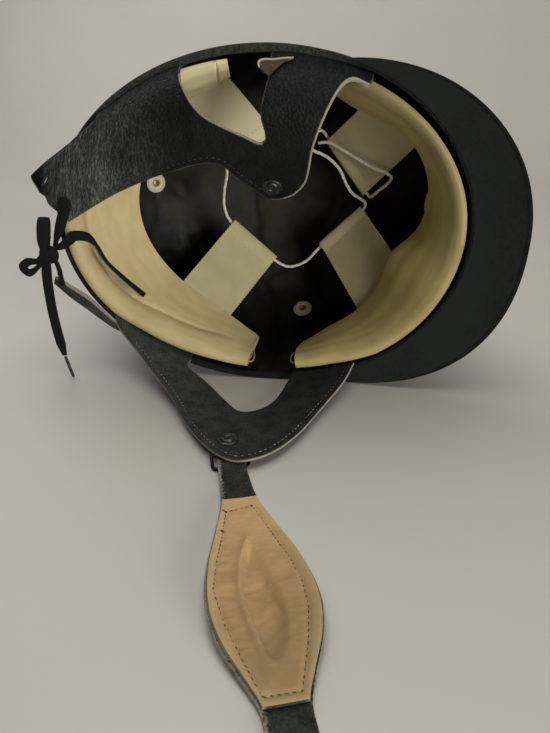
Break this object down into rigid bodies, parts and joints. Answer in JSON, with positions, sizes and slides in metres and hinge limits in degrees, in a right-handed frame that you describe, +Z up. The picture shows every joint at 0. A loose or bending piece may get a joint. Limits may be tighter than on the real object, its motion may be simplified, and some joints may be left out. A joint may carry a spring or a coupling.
{
  "type": "riding helmet",
  "caption": "Old peaked riding helmet lying on its side, with leather sweatband, webbing cradle, laced leather harness and a chin strap with a padded cup.",
  "frame": {"origin": "on the surface the helmet lies on, under the middle of the box round everything but the cords", "axes": "+X towards the helmet's front, +Y towards its crown, +Z up, away from the side it lies on"},
  "size_m": [0.2894, 0.407, 0.1929],
  "materials": {
    "shell": "black flocked outside, gloss black inside",
    "cream_leather": "soft cream sweatband leather",
    "webbing": "woven cotton tape",
    "drawstring": "off-white braided cord",
    "grain_leather": "black grain leather, flesh side behind",
    "suede": "flesh side of black leather",
    "chin_strap": "black leather strap",
    "chin_cup": "undyed buff leather",
    "eyelet": "cream enamelled eyelet",
    "black_metal": "blackened metal",
    "lace": "black woven lace",
    "lace_tip": "clear dark aglet"
  },
  "bodies": {
    "root": {"shell": "shell", "peak": "shell", "eyelet_rear": "eyelet", "eyelet_left": "eyelet", "eyelet_right": "eyelet", "headband_rear": "cream_leather", "headband_front": "cream_leather", "tape_rear_left": "webbing", "tape_front_left": "webbing", "tape_front_right": "webbing", "tape_rear_right": "webbing", "drawstring": "drawstring", "harness_right": "grain_leather", "harness_left": "suede", "snap_right": "black_metal", "snap_left": "black_metal", "keeper": "black_metal", "chin_strap": "chin_strap", "chin_cup": "chin_cup", "lace_upper": "lace", "lace_lower": "lace", "lace_bow": "lace", "lace_tip": "lace_tip"}
  },
  "joints": []
}
